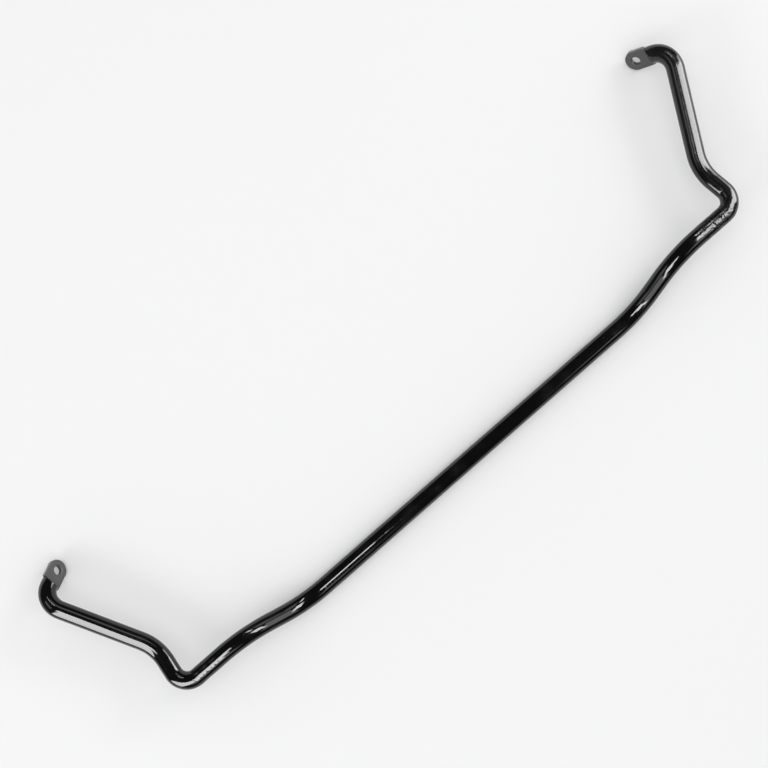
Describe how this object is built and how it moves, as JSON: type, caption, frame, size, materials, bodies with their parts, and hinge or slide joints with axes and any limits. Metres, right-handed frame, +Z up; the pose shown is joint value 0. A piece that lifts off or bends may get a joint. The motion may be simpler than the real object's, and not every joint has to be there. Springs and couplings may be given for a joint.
{
  "type": "sway bar",
  "caption": "Bent round steel tube, a wide U with an offset on each side and a flattened, pierced eye at the end of each arm, in gloss black enamel.",
  "frame": {"origin": "middle of the bar's outline box, on the surface it lies on", "axes": "+X along the bar from its left end to its right end, +Y from the centre span towards the arm ends, +Z up from the surface it lies on"},
  "size_m": [1.1058, 0.2794, 0.06],
  "materials": {
    "bar_enamel": "gloss black enamel with a fine orange peel",
    "seat_enamel": "gloss black enamel over pitted steel",
    "eye_enamel": "satin black enamel on the pressed faces"
  },
  "bodies": {
    "root": {"centre_span": "bar_enamel", "inner_offset_bend_left": "bar_enamel", "offset_ramp_left": "bar_enamel", "outer_offset_bend_left": "bar_enamel", "bushing_seat_left": "seat_enamel", "corner_bend_left": "seat_enamel", "arm_root_left": "bar_enamel", "arm_bend_left": "bar_enamel", "arm_left": "bar_enamel", "arm_end_bend_left": "bar_enamel", "link_eye_left": "eye_enamel", "inner_offset_bend_right": "bar_enamel", "offset_ramp_right": "bar_enamel", "outer_offset_bend_right": "bar_enamel", "bushing_seat_right": "seat_enamel", "corner_bend_right": "seat_enamel", "arm_root_right": "bar_enamel", "arm_bend_right": "bar_enamel", "arm_right": "bar_enamel", "arm_end_bend_right": "bar_enamel", "link_eye_right": "eye_enamel"}
  },
  "joints": []
}
